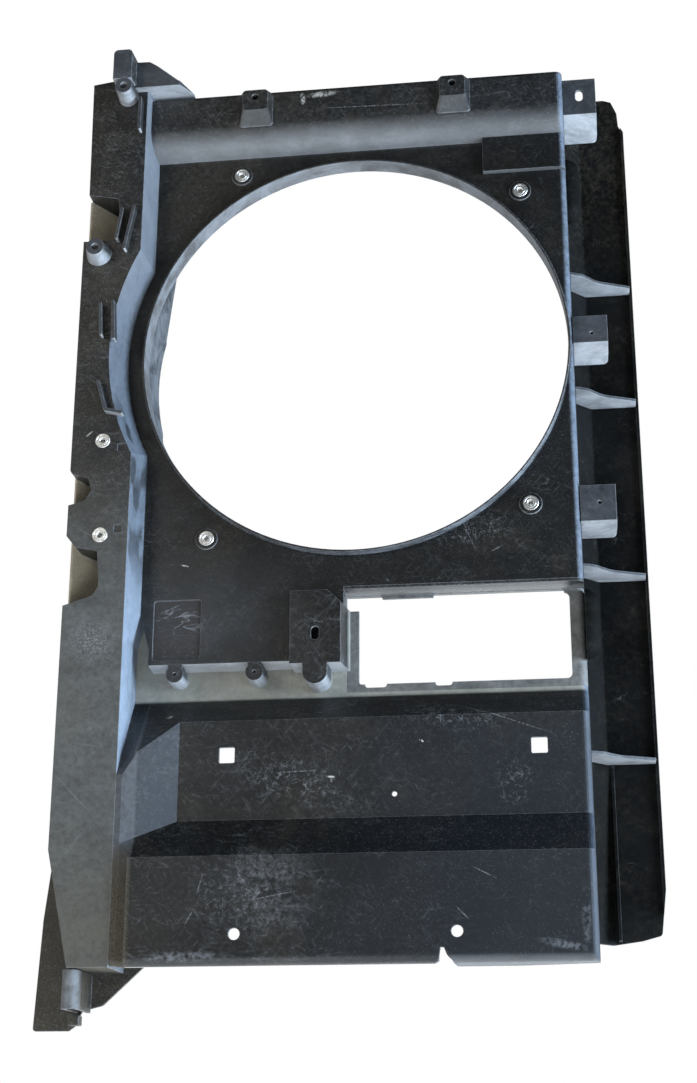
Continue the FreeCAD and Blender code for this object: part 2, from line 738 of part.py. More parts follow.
def wall_boss(low_z, high_z):
    """A hollow half-round boss with domed ends, on the outside of the right wall."""
    solids = []
    for radius in (wall_boss_radius, wall_boss_radius - wall):
        ends = (low_z + wall_boss_radius, high_z - wall_boss_radius)
        bar = Part.makeCylinder(radius, ends[1] - ends[0], Vector(right_x, wall_boss_y, ends[0]))
        for z in ends:
            bar = bar.fuse(Part.makeSphere(radius, Vector(right_x, wall_boss_y, z)))
        solids.append(bar)
    outside = block((right_x, right_x + wall_boss_radius), (0, rear_y), (low_z, high_z))
    return solids[0].cut(solids[1]).common(outside)


def guide_hood(top_z, face, slope):
    """A bent plate on the right side: a flat face above a slope that returns to the wall, and its cheek."""
    face_y = guide_tab_set_back
    slope_y = face_y + guide_tab_depth
    path = [(face_y, top_z), (face_y, top_z - face), (slope_y, top_z - face - slope)]
    end_x = right_x + guide_tab_width
    form = prism(strip(path, wall), "YZ", right_x, end_x)
    form = form.fuse(prism(path + [(slope_y, top_z)], "YZ", end_x - wall, end_x))
    low_z = top_z - face - slope
    trim = [(right_x, top_z), (right_x, low_z), (end_x, low_z, guide_tab_corner), (end_x, top_z)]
    return form.common(prism(trim, "XZ", face_y, slope_y)).removeSplitter()


def guide_tab(top_z, face, slope, bore_x, bore_drop):
    """A bored tab on the right side."""
    tab = guide_hood(top_z, face, slope)
    return tab.cut(rod(right_x + bore_x, top_z - bore_drop, guide_tab_bore_radius, 0, 2 * wall))


def corner_tab():
    """The slotted tab beside the right end of the beam."""
    top_z = beam_top_z + corner_tab_rise
    x = right_x + guide_tab_width / 2
    z = top_z - corner_tab_slot_drop
    half_x, half_z = (size / 2 for size in corner_tab_slot)
    slot = rounded_rectangle((x - half_x, x + half_x), (z - half_z, z + half_z), half_x)
    return guide_hood(top_z, corner_tab_face, corner_tab_slope).cut(prism(slot, "XZ", 0, 2 * wall))


def beam_tab(x):
    """A bolt tab on the top beam: a drafted hollow form with a bored face."""
    solids = []
    for inset in (0.0, wall):
        sections = []
        for level, grow in ((-beam_tab_stand, 0.0), (0.0, 1.0)):
            half = beam_tab_half_width + grow * beam_tab_draft - inset
            high_z = beam_top_z - beam_tab_top - inset
            low_z = beam_top_z - beam_tab_top - beam_tab_face - grow * beam_tab_slope + inset
            front_y = level - beam_height + inset * (1.0 - grow)
            shape = rounded_rectangle((x - half, x + half), (low_z, high_z), beam_tab_corner - inset)
            sections.append(outline(shape, "XZ", front_y))
        solids.append(Part.makeLoft(sections, True, True))
    tab = solids[0].cut(solids[1])
    z = beam_top_z - beam_tab_top - beam_tab_bore_drop
    return tab.cut(rod(x, z, beam_tab_bore_radius, -beam_height - beam_tab_stand, 0))


def raised_pad():
    """A shallow raised panel between the beam and the upper right insert."""
    x, z = pad_corner
    outer = prism(edge_profile(x, -pad_height, edge_roll, 0.0), "XY", z, panel_top_z + wall)
    inside = prism(edge_profile(x + wall, -pad_height, edge_roll, wall), "XY", z + wall, panel_top_z)
    behind = prism(edge_profile(x, 0.0, edge_roll, 0.0), "XY", z, panel_top_z)
    return outer.cut(inside).cut(behind).cut(beam_form(0.0))


def corner_bracket(rail_block, upper_post):
    """The raised pillar over the rail's top corner and the fin that slopes down to the beam."""
    x = (rail_outer_x + pillar_span[0], rail_outer_x + pillar_span[1])
    top_z = rail_top_z + pillar_rise
    low_z = rail_top_z - pillar_foot
    solids = []
    for inset in (0.0, wall):
        sections = []
        for level, draft in ((inset - pillar_height, 0.0), (rail_back_y, pillar_draft)):
            right = x[1] + draft - inset
            shape = [
                (x[0] + inset, low_z + inset),
                (x[0] + inset, top_z - inset, pillar_radius - inset),
                (right, top_z - inset, pillar_radius - inset),
                (right, low_z + inset),
            ]
            sections.append(outline(shape, "XZ", level))
        solids.append(Part.makeLoft(sections, True, True))
    fin = shifted(fin_outline, rail_outer_x, rail_top_z)
    fin.append((fin[-1][0], beam_top_z + fin_foot))
    fin.append((fin[0][0], beam_top_z + fin_foot))
    tip_x = rail_outer_x + fin_outline[-1][0]
    tip = [(tip_x - fin_tip[0], -fin_height), (tip_x, -fin_height), (tip_x, fin_tip[1] - fin_height)]
    bracket = tray(fin, -fin_height, rail_back_y, wall).cut(prism(tip, "XY", beam_top_z, top_z))
    bracket = bracket.cut(solids[0])
    bracket = bracket.fuse(solids[0].cut(solids[1]))
    return bracket.cut(rail_block).cut(upper_post)


def foot_bracket(rail_block):
    """The foot below the rail: a flat plate with a hollow post and a small hook."""
    plate = shifted(foot_outline, rail_outer_x, shell_bottom_z)
    plate += [(rail_edge_x, plate[-1][1]), (rail_edge_x, plate[0][1])]
    foot = prism(plate, "XZ", recess_depth, rail_back_y)
    x = [rail_outer_x + place for place in foot_post_span]
    z = (shell_bottom_z - foot_post_drop[1], shell_bottom_z - foot_post_drop[0])
    front_y = recess_depth - foot_post_height
    for inset in (0.0, wall):
        shape = [
            (x[0] + inset, recess_depth),
            (x[0] + inset, front_y + inset, 2 * wall - inset),
            (x[1] - inset, front_y + inset, 2 * wall - inset),
            (x[1] - inset, recess_depth),
        ]
        solid = prism(shape, "XY", z[0], z[1])
        foot = foot.cut(solid) if inset else foot.fuse(solid)
    hook_x, hook_drop, hook_width, hook_height = foot_hook
    hook = block((x[0] - wall, x[0] - wall + hook_width),
                 (recess_depth - hook_x, recess_depth),
                 (shell_bottom_z - hook_drop - hook_height, shell_bottom_z - hook_drop))
    return foot.fuse(hook).cut(rail_block).removeSplitter()


def plateau_form(x):
    """The room behind the plateau's front and its lower edge, between two x values."""
    section = [(0, duct_top_z), (0, plateau_bottom_z), (recess_depth, recess_top_z)]
    section.append((recess_depth, duct_top_z))
    return prism(section, "YZ", *x)


def pilot_boss(x):
    """A small bored boss below the plateau's lower edge, joined to it by a neck."""
    depth = recess_depth + pilot_stand
    front = Vector(x, -pilot_stand, pilot_z)
    boss = Part.makeCone(pilot_radius, pilot_radius + pilot_draft, depth, front, Vector(0, 1, 0))
    neck = block((x - pilot_neck, x + pilot_neck), (0, recess_depth), (pilot_z, plateau_bottom_z))
    boss = boss.fuse(neck).cut(plateau_form((x - 2 * pilot_radius, x + 2 * pilot_radius)))
    return boss.cut(rod(x, pilot_z, pilot_bore_radius, -pilot_stand, recess_depth))


def block_outline(draft):
    """Front view of the raised block; its right side moves out with the draft."""
    left, right = (duct_left_x + side for side in block_span)
    top_z = duct_top_z - block_top_drop
    foot_z = plateau_bottom_z - block_foot
    lobe_z = foot_z - lobe_drop - lobe_radius
    middle = (left + right) / 2
    return [
        (left, top_z),
        (left, foot_z),
        (middle - lobe_radius, foot_z),
        (middle - lobe_radius, lobe_z, lobe_radius),
        (middle + lobe_radius, lobe_z, lobe_radius),
        (middle + lobe_radius, foot_z),
        (right + draft, foot_z),
        (right + draft, top_z - block_chamfer[1]),
        (right + draft - block_chamfer[0], top_z),
    ]


def bracket_block():
    """The raised block beside the duct opening, with a cut corner, a slot and a round lobe."""
    front = Part.Face(outline(block_outline(0.0), "XZ", -block_height))
    back = Part.Face(outline(block_outline(block_draft), "XZ", recess_depth))
    body = Part.makeLoft([front.OuterWire, back.OuterWire], True, True)
    inner_front = front.makeOffset2D(-wall).OuterWire
    inner_front.translate(Vector(0, wall, 0))
    body = body.cut(Part.makeLoft([inner_front, back.makeOffset2D(-wall).OuterWire], True, True))
    left, right = (duct_left_x + side for side in block_span)
    body = body.cut(plateau_form((left, right - wall)))
    half_x, half_z = (size / 2 for size in block_slot)
    x = (left + right) / 2
    z = plateau_bottom_z + block_slot_rise
    slot = rounded_rectangle((x - half_x, x + half_x), (z - half_z, z + half_z), half_x)
    return body.cut(prism(slot, "XZ", -block_height, 0))


def post(x, z, height, top_radius, foot_radius):
    """A hollow tapered mounting post on the rail."""
    top = Vector(x, -rail_height - height, z)
    cone = Part.makeCone(top_radius, foot_radius, height, top, Vector(0, 1, 0))
    return cone.cut(rod(x, z, post_bore_radius, -rail_height - height, -rail_height))


def cable_clip(prongs):
    """Thin prongs on the rail that hold a cable, each standing between two places."""
    clip = None
    half = clip_wall / 2
    for ends in prongs:
        start, finish = (Vector(*place, 0) for place in rail_places(ends))
        along = (finish - start).normalize()
        side = Vector(-along.y, along.x, 0) * half
        corners = [start + side, finish + side, finish - side, start - side]
        solid = prism([(p.x, p.y) for p in corners], "XZ", -rail_height - clip_height, -rail_height)
        for end in (start, finish):
            solid = solid.fuse(rod(end.x, end.y, half, -rail_height - clip_height, -rail_height))
        clip = solid if clip is None else clip.fuse(solid)
    return clip.removeSplitter()


def insert(x, z, seat_y):
    """A flanged metal insert with a tapped bore, its head against the moulding."""
    head = rod(x, z, insert_head_radius, seat_y - insert_head, seat_y)
    shank = rod(x, z, insert_shank_radius, seat_y, seat_y + insert_length)
    bore = rod(x, z, insert_bore_radius, seat_y - insert_head, seat_y + insert_length)
    return head.fuse(shank).cut(bore)


def all_parts():
    """Every sub-part by name."""
    rail_block = rail_form(0.0)
    raised_block = bracket_block()
    upper_post, lower_post = (post(*place) for place in rail_places(posts.values()))
    parts = {
        "fan_collar": fan_collar(),
        "fan_panel": fan_panel(raised_block),
        "top_beam": top_beam(rail_block),
        "lower_panel": lower_panel(rail_block, raised_block),
        "duct_frame": duct_frame(raised_block),
        "mounting_rail": mounting_rail(rail_block),
        "side_wall": side_wall(),
        "side_guide": side_guide(),
        "bracket_block": raised_block,
        "raised_pad": raised_pad(),
        "corner_tab": corner_tab(),
        "corner_bracket": corner_bracket(rail_block, upper_post),
        "foot_bracket": foot_bracket(rail_block),
        "guide_rib": guide_rib(),
        "post_upper": upper_post,
        "post_lower": lower_post,
    }
    for number, z in enumerate(gusset_heights_z, 1):
        parts["gusset_%d" % number] = gusset(z)
    for name, span in wall_boss_spans.items():
        parts[name] = wall_boss(*span)
    for name, values in guide_tabs.items():
        parts[name] = guide_tab(*values)
    for name, x in beam_tab_places.items():
        parts[name] = beam_tab(x)
    for name, x in pilot_places.items():
        parts[name] = pilot_boss(x)
    for name, prongs in clips.items():
        parts[name] = cable_clip(prongs)
    for number, (x, z) in enumerate(insert_places(), 1):
        parts["fan_insert_%d" % number] = insert(x, z, -insert_pad)
    for number, (x, z) in enumerate(rail_places(rail_insert_places), 1):
        parts["rail_insert_%d" % number] = insert(x, z, -rail_height)
    return parts


os.makedirs("parts", exist_ok=True)
for name, shape in all_parts().items():
    shape.exportStep("parts/%s.step" % name)
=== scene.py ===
import bpy
import bmesh
import math
from mathutils import Matrix, Vector


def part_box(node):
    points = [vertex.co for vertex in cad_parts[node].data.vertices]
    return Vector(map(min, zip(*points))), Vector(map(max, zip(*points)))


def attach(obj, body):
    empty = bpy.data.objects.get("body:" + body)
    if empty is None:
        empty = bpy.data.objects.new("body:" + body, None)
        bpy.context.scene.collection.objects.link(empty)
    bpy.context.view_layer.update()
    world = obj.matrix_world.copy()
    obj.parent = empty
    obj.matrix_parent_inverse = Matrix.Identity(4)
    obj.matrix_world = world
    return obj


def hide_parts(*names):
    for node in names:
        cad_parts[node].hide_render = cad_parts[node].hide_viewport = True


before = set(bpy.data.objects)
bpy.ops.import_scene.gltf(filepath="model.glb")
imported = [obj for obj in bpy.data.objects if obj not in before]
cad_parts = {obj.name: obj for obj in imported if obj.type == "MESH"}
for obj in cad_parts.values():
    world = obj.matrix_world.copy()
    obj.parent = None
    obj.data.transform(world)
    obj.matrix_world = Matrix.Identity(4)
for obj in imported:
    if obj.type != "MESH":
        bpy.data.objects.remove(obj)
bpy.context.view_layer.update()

# Linear colours of the bare plastic, and a darker blue-black that is painted shade
CLEAN_BLACK = (0.0034, 0.0038, 0.0038)
WORN_BLACK = (0.0090, 0.0100, 0.0108)
# painted shade: darker blue-black for the lower right face of the panel
PAINTED_SHADE_BLUE_BLACK = (0.004, 0.008, 0.015)

# Linear colours of what lies on it or was rubbed from it, and of light and shade painted onto it
PALE_FILM = (0.120, 0.130, 0.145)
BROWN_DIRT = (0.105, 0.088, 0.058)
SPECKS = (0.17, 0.175, 0.18)
# rubbed plastic, also used as a painted highlight along the edges
RUBBED_AND_EDGE_HIGHLIGHT = (0.30, 0.32, 0.35)
CHALK = (0.62, 0.62, 0.60)
RECESS_DUST = (0.400, 0.398, 0.350)
# painted light: pale downward faces
UNDERSIDE_PAINTED_LIGHT = (0.370, 0.385, 0.400)
# painted light: bright downward faces just below the plateau
LIP_PAINTED_LIGHT = (0.620, 0.650, 0.680)
# painted highlight: blue sky reflection on the panel's right rounded edge
EDGE_PAINTED_HIGHLIGHT = (0.150, 0.195, 0.260)
# painted light: blue-grey on the lower panel's right-facing facets
FOLD_PAINTED_LIGHT = (0.110, 0.128, 0.155)
# darker brown inside the pocket
POCKET_DARKENING = (0.022, 0.016, 0.013)
RAIL_DUST = (0.150, 0.158, 0.156)
RAIL_EARTH = (0.120, 0.108, 0.070)
# painted reflection of blue sky on the rail's right-facing slope, over its middle, top and foot
SLOPE_PAINTED_SKY = (0.150, 0.185, 0.235)
SLOPE_TOP_PAINTED_SKY = (0.190, 0.210, 0.235)
SLOPE_FOOT_PAINTED_SKY = (0.330, 0.400, 0.500)
# tan of the notch floors, brightened as painted light against their shade
NOTCH_TAN_PAINTED_LIGHT = (0.660, 0.590, 0.440)
GUIDE_GRAIN = (0.050, 0.043, 0.030)
RIB_FRONT_FILM = (0.100, 0.115, 0.140)
# painted light: pale undersides of the webs and tabs
RIB_UNDERSIDE_PAINTED_LIGHT = (0.520, 0.550, 0.590)
FOOT_FILM = (0.24, 0.26, 0.28)
DUCT_DUST = (0.235, 0.240, 0.235)
COLLAR_DUST = (0.215, 0.235, 0.260)

# Linear colours of the metal and the floor
CLEAN_STEEL = (0.86, 0.86, 0.84)
STAINED_STEEL = (0.40, 0.37, 0.32)
FLOOR_TONES = ((0.78, 0.78, 0.77), (0.82, 0.82, 0.81))

# Marks of wear on the front, each with its centre x and z and its half length and half width in metres,
# its turn in radians and the softness of its edge
SWIRLS = (
    ((-0.100, -0.572), (0.062, 0.050), 0.0, 0.8),
    ((-0.050, -0.462), (0.085, 0.030), 0.3, 0.8),
    ((0.125, -0.205), (0.050, 0.020), -0.2, 0.8),
    ((0.155, -0.465), (0.022, 0.030), 0.0, 0.8),
    ((0.100, -0.400), (0.070, 0.018), 0.1, 0.8),
)
PANEL_SCORES = (
    ((-0.1404, -0.5624), (0.0126, 0.0008), 1.85, 0.5),
    ((-0.1499, -0.5938), (0.0094, 0.0008), 2.07, 0.5),
    ((-0.0733, -0.5756), (0.0288, 0.0006), -0.18, 0.5),
    ((-0.0551, -0.4519), (0.0236, 0.0008), -0.04, 0.5),
    ((0.1484, -0.4041), (0.0558, 0.0006), 0.35, 0.5),
    ((0.1276, -0.5574), (0.0154, 0.0006), 0.48, 0.5),
    ((0.1062, -0.5936), (0.0097, 0.0007), 0.80, 0.5),
    ((0.1082, -0.1889), (0.0533, 0.0006), 1.20, 0.5),
    ((0.1445, -0.2270), (0.0075, 0.0009), -0.48, 0.5),
    ((-0.1890, -0.2777), (0.0134, 0.0010), -0.41, 0.5),
    ((-0.1732, -0.2853), (0.0135, 0.0010), -0.12, 0.5),
    ((0.0200, 0.2850), (0.0650, 0.0008), 0.03, 0.5),
)
BEAM_SCRAPES = (
    ((-0.0548, 0.3000), (0.0092, 0.0034), 1.45, 0.7),
    ((-0.0330, 0.3045), (0.0190, 0.0046), -0.08, 0.8),
)
PANEL_CHIPS = (
    ((-0.0212, -0.4577), (0.0050, 0.0014), 0.12, 0.4),
    ((-0.0202, -0.4600), (0.0040, 0.0012), 1.48, 0.4),
    ((0.0047, -0.4647), (0.0011, 0.0011), 0.0, 0.4),
    ((0.0676, -0.4246), (0.0029, 0.0012), 0.57, 0.4),
    ((-0.1862, -0.3908), (0.0041, 0.0014), -0.22, 0.5),
    ((-0.1752, -0.2321), (0.0050, 0.0011), 0.24, 0.5),
)
CHALKED_RIM = (
    ((0.1975, -0.6231), (0.0260, 0.0050), 0.18, 0.7),
    ((0.2190, -0.5951), (0.0320, 0.0050), 1.57, 0.7),
    ((-0.1530, -0.6300), (0.0500, 0.0060), 0.0, 0.8),
)
RAIL_SCORES = (
    ((-0.2718, -0.4722), (0.0340, 0.0009), 0.80, 0.6),
    ((-0.2665, -0.5200), (0.0300, 0.0008), -0.90, 0.6),
    ((-0.2600, -0.4250), (0.0160, 0.0007), 0.20, 0.6),
    ((-0.2700, -0.2050), (0.0150, 0.0008), 0.60, 0.6),
    ((-0.2620, 0.0200), (0.0120, 0.0007), -0.50, 0.6),
    ((-0.2650, 0.0900), (0.0110, 0.0007), -0.80, 0.6),
)
RAIL_CHIPS = (
    ((-0.2250, -0.4938), (0.0130, 0.0012), 1.33, 0.5),
    ((-0.2090, -0.5376), (0.0061, 0.0014), 1.20, 0.5),
    ((-0.2737, -0.0945), (0.0048, 0.0010), -0.73, 0.5),
)

# Heights of the rail's notches, and of the coplanar joints between mouldings, which get no rounded edge
NOTCH_HEIGHTS = ((0.1300, 0.1930), (-0.1760, -0.1270), (-0.2840, -0.2000))
JOINT_HEIGHTS = (0.241, -0.334, -0.365)
JOINT_REACH = 0.0017


# Rounded edges of the moulding, and the depth of its grain
EDGE_RADIUS = 0.0013
GRAIN_DEPTH = 0.0005


# Shader helpers: each returns the output socket of the node that it adds

def new_material(name):
    material = bpy.data.materials.new(name)
    material.use_nodes = True
    return material


def add(tree, kind, **settings):
    node = tree.nodes.new(kind)
    for key, value in settings.items():
        setattr(node, key, value)
    return node


def feed(tree, socket, value):
    if isinstance(value, bpy.types.NodeSocket):
        tree.links.new(value, socket)
    else:
        socket.default_value = value


def placed(tree, stretch=(1, 1, 1), turn=(0, 0, 0), shift=(0, 0, 0)):
    """Object coordinates, stretched and turned for one pattern."""
    mapping = add(tree, "ShaderNodeMapping")
    mapping.inputs["Scale"].default_value = stretch
    mapping.inputs["Rotation"].default_value = turn
    mapping.inputs["Location"].default_value = shift
    tree.links.new(add(tree, "ShaderNodeTexCoord").outputs["Object"], mapping.inputs["Vector"])
    return mapping.outputs["Vector"]


def brushed(tree, turn):
    """Object coordinates for a pattern drawn out along one direction of the front view."""
    mapping = add(tree, "ShaderNodeMapping", vector_type="TEXTURE")
    mapping.inputs["Rotation"].default_value = (0, turn, 0)
    mapping.inputs["Scale"].default_value = (1, 1, 9)
    tree.links.new(add(tree, "ShaderNodeTexCoord").outputs["Object"], mapping.inputs["Vector"])
    return mapping.outputs["Vector"]


def noise(tree, vector, scale, detail=3.0, roughness=0.55, distortion=0.0):
    node = add(tree, "ShaderNodeTexNoise")
    tree.links.new(vector, node.inputs["Vector"])
    values = (("Scale", scale), ("Detail", detail), ("Roughness", roughness), ("Distortion", distortion))
    for key, value in values:
        node.inputs[key].default_value = value
    return node.outputs["Fac"]


def span(tree, value, low, high, to_low=0.0, to_high=1.0, smooth=False):
    """The value stretched from one range to another and held inside it."""
    node = add(tree, "ShaderNodeMapRange", clamp=True)
    node.interpolation_type = "SMOOTHSTEP" if smooth else "LINEAR"
    feed(tree, node.inputs["Value"], value)
    for key, number in (("From Min", low), ("From Max", high), ("To Min", to_low), ("To Max", to_high)):
        node.inputs[key].default_value = number
    return node.outputs["Result"]


def maths(tree, operation, first, second=0.0):
    node = add(tree, "ShaderNodeMath", operation=operation)
    feed(tree, node.inputs[0], first)
    feed(tree, node.inputs[1], second)
    return node.outputs["Value"]


def times(tree, *values):
    result = values[0]
    for value in values[1:]:
        result = maths(tree, "MULTIPLY", result, value)
    return result


def most(tree, *values):
    result = values[0]
    for value in values[1:]:
        result = maths(tree, "MAXIMUM", result, value)
    return result


def mixed(tree, factor, first, second):
    node = add(tree, "ShaderNodeMix", data_type="RGBA")
    feed(tree, node.inputs["Factor"], factor)
    for socket, colour in ((node.inputs[6], first), (node.inputs[7], second)):
        feed(tree, socket, colour if isinstance(colour, bpy.types.NodeSocket) else (*colour, 1.0))
    return node.outputs[2]


def split(tree, vector):
    node = add(tree, "ShaderNodeSeparateXYZ")
    tree.links.new(vector, node.inputs["Vector"])
    return node.outputs


def band(tree, value, low, high, soft):
    """One between two values, fading over a soft edge on each side."""
    rise = span(tree, value, low - soft, low + soft)
    return times(tree, rise, span(tree, value, high - soft, high + soft, 1.0, 0.0))


def mark(tree, centre, size, turn=0.0, soft=0.5):
    """A soft oval on the front of the moulding, its size and turn given in the front view."""
    mapping = add(tree, "ShaderNodeMapping", vector_type="TEXTURE")
    mapping.inputs["Location"].default_value = (centre[0], 0.0, centre[1])
    mapping.inputs["Rotation"].default_value = (0, turn, 0)
    mapping.inputs["Scale"].default_value = (size[0], 4.0, size[1])
    tree.links.new(add(tree, "ShaderNodeTexCoord").outputs["Object"], mapping.inputs["Vector"])
    reach = add(tree, "ShaderNodeVectorMath", operation="LENGTH")
    tree.links.new(mapping.outputs["Vector"], reach.inputs[0])
    return span(tree, reach.outputs["Value"], 1.0 - soft, 1.0, 1.0, 0.0)


def marks(tree, places):
    return most(tree, *(mark(tree, *place) for place in places))


def hairlines(tree, vector, scale, width, distortion=0.6):
    """Thin curling lines where a noise passes its middle value."""
    lines = noise(tree, vector, scale, 1.0, 0.5, distortion)
    return span(tree, maths(tree, "ABSOLUTE", maths(tree, "SUBTRACT", lines, 0.5)), 0.0, width, 1.0, 0.0)


def edge_rounding(tree, radius):
    """The moulding's softly rounded normal and a mask of its edges."""
    rounding = add(tree, "ShaderNodeBevel", samples=6)
    rounding.inputs["Radius"].default_value = radius
    true_normal = add(tree, "ShaderNodeNewGeometry").outputs["Normal"]
    height = split(tree, placed(tree))[2]
    joints = (band(tree, height, z - JOINT_REACH, z + JOINT_REACH, 0.0003) for z in JOINT_HEIGHTS)
    joint = most(tree, *joints)
    blend = add(tree, "ShaderNodeMix", data_type="VECTOR")
    tree.links.new(joint, blend.inputs["Factor"])
    tree.links.new(rounding.outputs["Normal"], blend.inputs[4])
    tree.links.new(true_normal, blend.inputs[5])
    along = add(tree, "ShaderNodeVectorMath", operation="DOT_PRODUCT")
    tree.links.new(blend.outputs[1], along.inputs[0])
    tree.links.new(true_normal, along.inputs[1])
    return blend.outputs[1], span(tree, along.outputs["Value"], 0.995, 0.90)


class Surface:
    """The patterns that every finish of the moulding shares."""

    def __init__(self, tree):
        self.tree = tree
        self.x, self.y, self.z = split(tree, placed(tree))[:3]
        self.nx, self.ny, self.nz = split(tree, add(tree, "ShaderNodeNewGeometry").outputs["Normal"])[:3]
        self.clouds = noise(tree, placed(tree), 9.0, 5.0, 0.62, 0.5)
        self.smears = noise(tree, placed(tree, (0.6, 1, 1), shift=(3.1, 0.7, 1.9)), 38.0, 6.0, 0.72, 0.4)
        self.damp = noise(tree, placed(tree, (1, 1, 0.6), shift=(1.3, 4.7, 0.9)), 30.0, 2.0, 0.5, 0.2)
        self.fine = noise(tree, placed(tree), 190.0, 3.0, 0.7)
        self.grit = noise(tree, placed(tree), 520.0, 2.0, 0.6)
        self.scrape = noise(tree, placed(tree, (1.6, 1, 1), shift=(2.0, 8.1, 3.3)), 120.0, 4.0, 0.7, 0.8)
        self.warm = noise(tree, placed(tree, shift=(7.7, 2.2, 5.5)), 6.5, 5.0, 0.68, 0.6)
        fibres = (noise(tree, brushed(tree, turn), scale, 3.0, 0.6, 0.25)
                  for turn, scale in ((0.7, 380.0), (-0.5, 450.0), (1.5, 340.0), (-1.1, 410.0)))
        self.fibres = most(tree, *(span(tree, fibre, 0.57, 0.70) for fibre in fibres))


def moulded_plastic(name, film, grain, layers, gloss=(0.36, 0.50), wear_and_highlight=0.55, shine=0.5, soil=0.24,
                    scrub=0.25):
    """Black moulded plastic that has been on the road: grain, film, dust, scuffed edges that are also
    lightened as a painted highlight, and scratches.
    """
    material = new_material(name)
    tree = material.node_tree
    shader = tree.nodes["Principled BSDF"]
    face = Surface(tree)
    colour = mixed(tree, span(tree, face.clouds, 0.35, 0.68), CLEAN_BLACK, WORN_BLACK)
    haze = times(tree, span(tree, face.clouds, 0.36, 0.66, 0.35, 1.0),
                 span(tree, face.fine, 0.30, 0.72, 0.25, 1.0), film)
    colour = mixed(tree, haze, colour, PALE_FILM)
    brown = times(tree, span(tree, face.warm, 0.48, 0.66),
                  span(tree, face.fine, 0.35, 0.65, 0.3, 1.0), soil)
    colour = mixed(tree, brown, colour, BROWN_DIRT)
    scuffs = times(tree, face.fibres, span(tree, face.smears, 0.42, 0.62, 0.15, 1.0),
                   span(tree, face.fine, 0.30, 0.60), scrub)
    colour = mixed(tree, scuffs, colour, RUBBED_AND_EDGE_HIGHLIGHT)
    cover = most(tree, haze, brown)
    for mask, tint in layers(face):
        colour = mixed(tree, mask, colour, tint)
        cover = most(tree, cover, mask)

    specks = times(tree, span(tree, face.grit, 0.60, 0.72),
                   span(tree, face.clouds, 0.36, 0.60, 0.3, 1.0), grain)
    colour = mixed(tree, specks, colour, SPECKS)
    curls = times(tree, hairlines(tree, placed(tree, shift=(0.4, 0.2, 0.9)), 34.0, 0.006, 1.6),
                  span(tree, face.smears, 0.55, 0.68), 0.35)
    colour = mixed(tree, curls, colour, RUBBED_AND_EDGE_HIGHLIGHT)
    normal, edges = edge_rounding(tree, EDGE_RADIUS)
    # scuffed edges, also lightened along every edge as a painted highlight
    rubbed_and_highlit_edges = times(tree, edges, span(tree, face.fine, 0.30, 0.60, 0.35, 1.0), wear_and_highlight)
    colour = mixed(tree, rubbed_and_highlit_edges, colour, RUBBED_AND_EDGE_HIGHLIGHT)
    feed(tree, shader.inputs["Base Color"], colour)
    feed(tree, shader.inputs["Specular IOR Level"], span(tree, face.nz, 0.15, 0.45, shine, shine * 0.45))

    rough = span(tree, face.fine, 0.25, 0.75, *gloss)
    feed(tree, shader.inputs["Roughness"], maths(tree, "ADD", rough, times(tree, cover, 0.32)))
    bump = add(tree, "ShaderNodeBump")
    bump.inputs["Strength"].default_value = 0.30
    bump.inputs["Distance"].default_value = GRAIN_DEPTH
    height = maths(tree, "ADD", times(tree, face.fine, 0.7), times(tree, face.grit, 0.4))
    feed(tree, bump.inputs["Height"], maths(tree, "SUBTRACT", height, times(tree, curls, 0.6)))
    tree.links.new(normal, bump.inputs["Normal"])
    tree.links.new(bump.outputs["Normal"], shader.inputs["Normal"])
    return material


